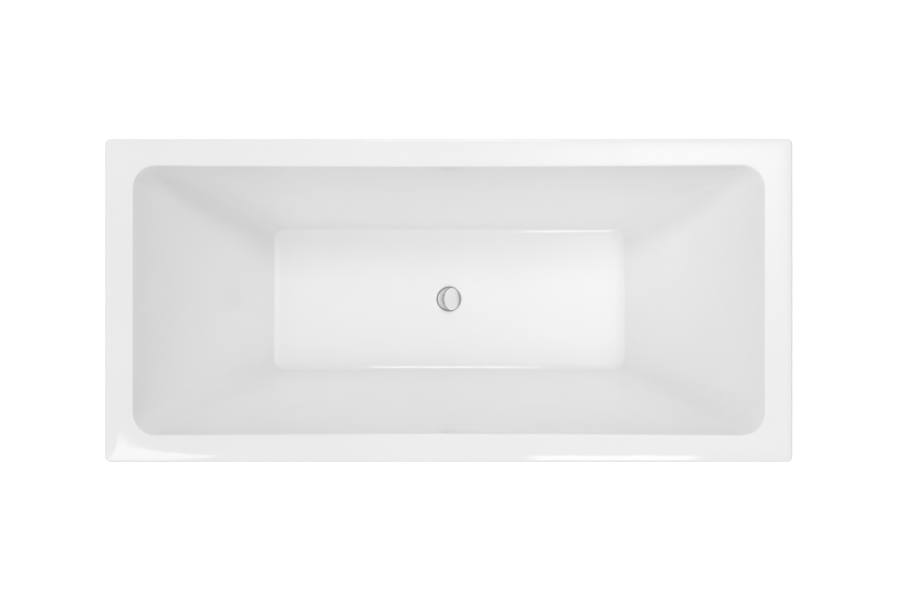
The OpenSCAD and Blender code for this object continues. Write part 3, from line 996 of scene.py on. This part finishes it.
def build_stud(i):
    """An M12 stud with a rolled thread and a hexagon for the spanner."""
    node = f"foot_stud_{i}"
    low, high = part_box(node)
    middle = (low + high) / 2
    segments = 48
    hex_low = 15 * MM
    hex_high = 21 * MM
    end = chamfered_end(2 * 9 * MM * math.cos(TAU / 12), 0.7 * MM, 2)
    profile = [(STUD_R - 0.6 * MM, low.z), (STUD_R, low.z + 0.6 * MM), (STUD_R, hex_low)]
    profile += [(outline, hex_low + z) for outline, z in end]
    profile += [(outline, hex_high - z) for outline, z in reversed(end)]
    profile += [(STUD_R - 1 * MM, hex_high), (STUD_R - 1 * MM, hex_high + 2 * MM)]
    rings = profile_rings(profile, segments)
    rings += thread_rings(STUD_R, STUD_PITCH, 1 * MM, hex_high + 3 * MM, high.z - 1.5 * MM, segments)
    rings.append(radial_ring(STUD_R - 1.4 * MM, high.z, segments))
    part = moved(loft_data(rings, capped=True), Matrix.Translation((middle.x, middle.y, 0)))
    obj = add_mesh(f"threaded_stud_{i}", part, ZINC)
    place(obj, f"stud_{i}", node, slot="zinc_steel")


def build_pad(i):
    """A moulded foot: a ribbed cone round the stud's hub, with a grooved sole."""
    node = f"foot_pad_{i}"
    low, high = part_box(node)
    middle = (low + high) / 2
    r = (high.x - low.x) / 2
    rim_h = 4 * MM
    hub_r = STUD_R + 6 * MM
    bore = STUD_R + 0.06 * MM
    ribs = 8

    def ribbed(radius):
        """The cone's height at a radius, cut away between the ribs."""
        share = (r - radius) / (r - hub_r)
        cone = rim_h + (high.z - rim_h) * share
        valley = rim_h + 1 * MM + (cone - rim_h) * share ** 2 * 0.35

        def height(a):
            near = abs((a * ribs / TAU) % 1.0 - 0.5) * 2
            rib = min(1.0, max(0.0, (0.34 - near) / 0.12))
            return min(cone, valley + (cone - valley) * rib)

        return height

    profile = [(0.3 * MM, 3 * MM), (bore, 3 * MM), (bore, high.z - 0.5 * MM)]
    profile += [(bore + 0.5 * MM, high.z), (hub_r - 0.6 * MM, high.z), (hub_r, high.z - 0.4 * MM)]
    for k in range(1, 10):
        radius = hub_r + (r - 0.8 * MM - hub_r) * k / 10
        profile.append((radius, ribbed(radius)))
    profile += [(r - 0.6 * MM, rim_h), (r, rim_h - 0.6 * MM), (r, 1 * MM), (r - 1 * MM, 0)]
    for k in range(3):
        edge = r - (4 + 6 * k) * MM
        for step, depth in ((0, 0), (0.4, 0.8), (1.6, 0.8), (2.0, 0)):
            profile.append((edge - step * MM, depth * MM))
    profile.append((0.3 * MM, 0))
    part = lathe_data(profile, closed=False)
    part = moved(part, Matrix.Translation((middle.x, middle.y, 0)))
    obj = add_mesh(f"moulded_foot_{i}", part, NYLON)
    place(obj, f"foot_{i}", node, slot="pad_plastic")


# ------------ waste

CUP_R = 32.8 * MM
CUP_OUT = 34.4 * MM
CUP_FLOOR = RECESS_Z + 4 * MM
CUP_BASE = RECESS_Z + 2 * MM
BORE_R = 19.5 * MM
TAIL_R = 23.9 * MM
TAIL_PITCH = 2.309 * MM


def strainer_bar(angle):
    """One rounded bar across the outlet."""
    reach = BORE_R + 0.8 * MM
    half = 1.5 * MM
    top = CUP_FLOOR - 0.1 * MM
    low = CUP_FLOOR - 4 * MM
    section = arc(0, top - half, half, 0, 180, 8) + arc(0, low + half, half, 180, 360, 8)
    rings = []
    for x in (-reach, reach):
        rings.append([Vector((x, y, z)) for y, z in section])
    part = loft_data(rings, capped=True)
    return moved(part, Matrix.Rotation(angle, 4, "Z"))


def build_cup():
    """The chrome cup, its strainer cross, and the threaded tail below the basin."""
    top = cup_high.z
    tail = cup_low.z
    nut_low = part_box("waste_backnut")[0].z
    root_r = TAIL_R - 1.3 * MM
    neck_r = TAIL_R - 0.2 * MM
    end = [(BORE_R, tail + 0.6 * MM), (BORE_R + 0.6 * MM, tail), (TAIL_R - 1.4 * MM, tail)]
    body = [(root_r, nut_low - 3 * MM), (root_r, nut_low), (neck_r, nut_low + 1 * MM)]
    body += [(neck_r, CUP_BASE), (CUP_OUT - 1 * MM, CUP_BASE), (CUP_OUT, CUP_BASE + 1 * MM)]
    body += [(CUP_OUT, top - 0.2 * MM), (CUP_OUT - 0.1 * MM, top), (CUP_OUT - 0.6 * MM, top)]
    body += arc(CUP_R + 4 * MM, top - 3 * MM, 4 * MM, 135, 180, 8)
    body += arc(CUP_R - 2 * MM, CUP_FLOOR + 2 * MM, 2 * MM, 0, -90, 6)
    body.append((BORE_R + 2 * MM, CUP_FLOOR))
    body += arc(BORE_R + 1 * MM, CUP_FLOOR - 1 * MM, 1 * MM, 90, 180, 4)
    thread = thread_rings(TAIL_R, TAIL_PITCH, 1.2 * MM, tail + 1 * MM, nut_low - 3.3 * MM, 96)
    cup = loft_data(profile_rings(end) + thread + profile_rings(body), closed=True)
    part = merge(cup, strainer_bar(TAU / 8), strainer_bar(3 * TAU / 8))
    obj = add_mesh("chrome_cup", part, CUP_CHROME)
    place(obj, "tub", "waste_cup", slot="waste_chrome")


def build_washer(node, name, bulge):
    """A flat rubber ring whose edges bulge where it is nipped."""
    low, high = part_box(node)
    outer = high.x
    inner = TAIL_R + 0.5 * MM
    half = (high.z - low.z) / 2
    middle = low.z + half
    profile = arc(outer - bulge, middle, bulge, -60, 60, 8)
    profile += arc(inner + bulge, middle, bulge, 120, 240, 8)
    tall = bulge * math.sin(math.radians(60))
    profile = [(r, middle + (z - middle) * half / tall) for r, z in profile]
    obj = add_mesh(name, lathe_data(profile), RUBBER)
    place(obj, "tub", node, slot="rubber")


def build_backnut():
    """A moulded nut with six grip lugs and a washer face."""
    low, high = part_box("waste_backnut")
    ring_r = 31 * MM
    lug = high.x - ring_r
    lugs = 6

    def outline(inset):
        def radius(a):
            off = abs((a * lugs / TAU + 0.5) % 1.0 - 0.5)
            grip = min(1.0, max(0.0, (0.15 - off) / 0.045))
            grip = grip * grip * (3 - 2 * grip)
            return ring_r - inset + lug * grip

        return radius

    bore = TAIL_R
    eased = ((1.2 * MM, 0), (0.35 * MM, 0.35 * MM), (0, 1.2 * MM))
    profile = [(bore, low.z + 0.8 * MM), (bore + 0.8 * MM, low.z)]
    profile += [(outline(inset), low.z + z) for inset, z in eased]
    profile += [(outline(inset), high.z - z) for inset, z in reversed(eased)]
    profile += [(bore + 0.8 * MM, high.z), (bore, high.z - 0.8 * MM)]
    obj = add_mesh("grip_nut", lathe_data(profile, segments=144), NYLON)
    place(obj, "tub", "waste_backnut", slot="nut_plastic")


def stopper_joint():
    """The stopper's joint as model.json gives it."""
    return next(j for j in frame["joints"] if j["name"] == "stopper_tilt")


def stopper_matrix():
    """Carries the stopper from lying shut in its cup to the open rest pose."""
    joint = stopper_joint()
    pivot = Vector(joint["pos_m"])
    opened = math.radians(-joint["range_deg"][0])
    turn = Matrix.Rotation(opened, 4, "Y")
    return Matrix.Translation(pivot) @ turn @ Matrix.Translation(-pivot)


CAP_R = 31.4 * MM
CAP_T = 4 * MM


def build_cap():
    """The lacquered disc: a faint dome, a broad rounded rim and a groove for its seal."""
    middle = stopper_joint()["pos_m"][2]
    top = middle + CAP_T / 2
    low = middle - CAP_T / 2
    dome = 0.25 * MM
    shoulder = 2.2 * MM
    profile = []
    face_r = CAP_R - shoulder
    for i in range(8):
        r = 0.2 * MM + (face_r - 0.2 * MM) * i / 7
        profile.append((r, top - dome * (r / face_r) ** 2))
    for i in range(1, 7):
        a = i / 6 * TAU / 4
        profile.append((face_r + shoulder * math.sin(a), top - dome - 0.9 * MM * (1 - math.cos(a))))
    profile += [(CAP_R, middle + 0.75 * MM), (CAP_R - 1 * MM, middle + 0.75 * MM)]
    profile += [(CAP_R - 1 * MM, middle - 1.2 * MM), (CAP_R, middle - 1.2 * MM)]
    profile += [(CAP_R, low + 0.6 * MM), (CAP_R - 0.2 * MM, low + 0.2 * MM), (CAP_R - 0.6 * MM, low)]
    profile += [(20 * MM, low), (19 * MM, low + 0.5 * MM), (0.2 * MM, low + 0.5 * MM)]
    part = lathe_data(profile[::-1], segments=128, closed=False)
    obj = add_mesh("tilting_cap", moved(part, stopper_matrix()), CAP_LACQUER, smooth_angle=40)
    place(obj, "stopper", "stopper_cap", slot="cap_lacquer")


def build_seal():
    """The soft ring in the cap's edge, with a lip."""
    middle = stopper_joint()["pos_m"][2]
    r = CAP_R + 0.5 * MM
    profile = [(CAP_R - 1 * MM, middle - 1.15 * MM), (r - 0.9 * MM, middle - 1.15 * MM)]
    profile += arc(r - 0.7 * MM, middle - 0.2 * MM, 0.7 * MM, -75, 75, 8)
    profile += [(CAP_R - 0.3 * MM, middle + 0.7 * MM), (CAP_R - 1 * MM, middle + 0.7 * MM)]
    part = lathe_data(profile, segments=128)
    obj = add_mesh("lip_seal", moved(part, stopper_matrix()), RUBBER)
    place(obj, "stopper", "stopper_seal", slot="rubber")


def build_pin():
    """The stainless hinge pin with eased ends."""
    low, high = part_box("stopper_pin")
    middle = (low + high) / 2
    r = (high.z - low.z) / 2
    half = (high.y - low.y) / 2
    profile = [(0.3 * r, -half), (r - 0.2 * MM, -half), (r, -half + 0.3 * MM)]
    profile += [(r, half - 0.3 * MM), (r - 0.2 * MM, half), (0.3 * r, half)]
    part = lathe_data(profile, segments=32, closed=False)
    turn = Matrix.Translation(middle) @ Matrix.Rotation(-TAU / 4, 4, "X")
    obj = add_mesh("hinge_pin", moved(part, turn), ZINC)
    place(obj, "stopper", "stopper_pin", slot="pin_steel")


# ------------ build it all

build_basin()
build_laminate()
build_skirt()
build_board()
for part in ("rim_batten_", "skirt_batten_"):
    for end in ("front", "back"):
        build_plank(part + end, 0, TIMBER_X)
    for end in ("left", "right"):
        build_plank(part + end, 1, TIMBER_Y)
for end in ("front", "back"):
    build_tube("frame_rail_" + end, 0)
for end in ("left", "right"):
    build_tube("cross_rail_" + end, 1)
    build_tube("end_rail_" + end, 1)
for i in range(1, 5):
    build_tube(f"upright_{i}", 2)
    build_bracket(i)
    build_stud(i)
    build_pad(i)
    build_nuts(f"foot_lock_nut_{i}", f"lock_nut_{i}")
build_welds()
build_nuts("weld_nuts", "welded_nuts")
build_bracket_bolts()
build_screws("bracket_screws", "batten_screws", 3 * MM, up=True)
build_screws("board_screws", "chipboard_screws", 2.5 * MM, up=False)
build_cup()
build_washer("waste_upper_seal", "cup_gasket", 1.2 * MM)
build_washer("waste_lower_washer", "nut_gasket", 1.8 * MM)
build_backnut()
build_cap()
build_seal()
build_pin()


# ------------ studio

VIEW_HEIGHT = 3.04
LENS = 49.27
# Where the camera looks, on the rim's plane, and how far it stands beyond that point
CENTRE = Vector((0.003, 0.001, TOP))
STEP_BACK = Vector((0, 0.026, VIEW_HEIGHT))


def build_camera():
    """Above the middle of the rim and looking straight down."""
    data = bpy.data.cameras.new("overhead")
    data.lens = LENS
    data.sensor_width = 36
    data.clip_end = 50
    cam = bpy.data.objects.new("overhead", data)
    cam.location = CENTRE + STEP_BACK
    data.shift_y = -STEP_BACK.y / VIEW_HEIGHT * LENS / data.sensor_width
    bpy.context.scene.collection.objects.link(cam)
    bpy.context.scene.camera = cam


def build_floor():
    """A broad pale floor under the tub."""
    verts = [(x, y, 0.0) for y in (-FLOOR_HALF, FLOOR_HALF) for x in (-FLOOR_HALF, FLOOR_HALF)]
    add_mesh("studio_floor", (verts, [(0, 1, 3, 2)]), STUDIO_PAPER)


def build_backdrop():
    """A pale round sweep behind side views; it takes no part in the tub's lighting."""
    profile = arc(BACKDROP_R - SWEEP_R, SWEEP_R, SWEEP_R, -90, 0, 12)
    profile.append((BACKDROP_R, 2 * SWEEP_R))
    backdrop = add_mesh("studio_backdrop", loft_data(profile_rings(profile)), STUDIO_PAPER)
    backdrop.visible_diffuse = False
    backdrop.visible_glossy = False
    backdrop.visible_shadow = False


def softbox(name, centre, size, turn, radiance):
    """A flat softbox facing down; its power follows from how bright it looks."""
    data = bpy.data.lights.new(name, "AREA")
    data.shape = "RECTANGLE"
    data.size, data.size_y = size
    data.energy = radiance * math.pi * size[0] * size[1]
    obj = bpy.data.objects.new(name, data)
    obj.location = centre
    obj.rotation_euler = (0, 0, math.radians(turn))
    obj.visible_camera = False
    bpy.context.scene.collection.objects.link(obj)


def build_sky(even, glows):
    """An even surround plus broad glows: (azimuth, elevation, tightness, strength) each."""
    world = bpy.data.worlds.new("studio")
    world.use_nodes = True
    tree = world.node_tree
    coords = tree.nodes.new("ShaderNodeTexCoord")

    def math_node(operation, *values):
        node = tree.nodes.new("ShaderNodeMath")
        node.operation = operation
        for socket, value in zip(node.inputs, values):
            if isinstance(value, (int, float)):
                socket.default_value = value
            else:
                tree.links.new(value, socket)
        return node.outputs["Value"]

    total = None
    for azimuth, elevation, tightness, strength in glows:
        a, e = math.radians(azimuth), math.radians(elevation)
        dot = tree.nodes.new("ShaderNodeVectorMath")
        dot.operation = "DOT_PRODUCT"
        dot.inputs[1].default_value = (math.cos(e) * math.cos(a), math.cos(e) * math.sin(a), math.sin(e))
        tree.links.new(coords.outputs["Generated"], dot.inputs[0])
        power = math_node("MULTIPLY_ADD", dot.outputs["Value"], tightness, -tightness)
        glow = math_node("EXPONENT", power)
        total = math_node("MULTIPLY_ADD", glow, strength, even if total is None else total)
    background = tree.nodes["Background"]
    background.inputs["Color"].default_value = (1, 1, 1, 1)
    tree.links.new(total, background.inputs["Strength"])
    bpy.context.scene.world = world


FLOOR_GLOW = 0.35
FLOOR_HALF = 30.0
BACKDROP_R = 29.0
SWEEP_R = 8.0
STUDIO_PAPER = studio_floor()

# Each softbox: its centre, its two sides, its turn in degrees and how bright it looks
BOX_Z = TOP + 2.0
SOFTBOXES = {
    "front_left": ((-1.30, -0.90, BOX_Z), (0.50, 0.50), -34, 3.0),
    "front_right": ((0.68, -1.08, BOX_Z), (0.68, 0.50), 0, 3.9),
    "back": ((0.04, 1.40, BOX_Z), (0.84, 0.50), 0, 7.0),
}
EVEN = 0.01
GLOWS = [
    (0, 72, 25, 1.2),
    (33, 77, 150, 2.0),
    (45, 55, 10, 0.72),
    (180, 55, 10, 0.97),
    (270, 55, 10, 0.95),
    (90, 25, 8, 1.15),
    (225, 25, 8, 0.9),
    (315, 25, 8, 0.25),
]


def build_studio():
    """The sky, the softboxes and the plain view transform."""
    build_sky(EVEN, GLOWS)
    for name, values in SOFTBOXES.items():
        softbox("softbox_" + name, *values)
    view = bpy.context.scene.view_settings
    view.view_transform = "Standard"
    view.look = "None"


build_camera()
build_floor()
build_backdrop()
build_studio()
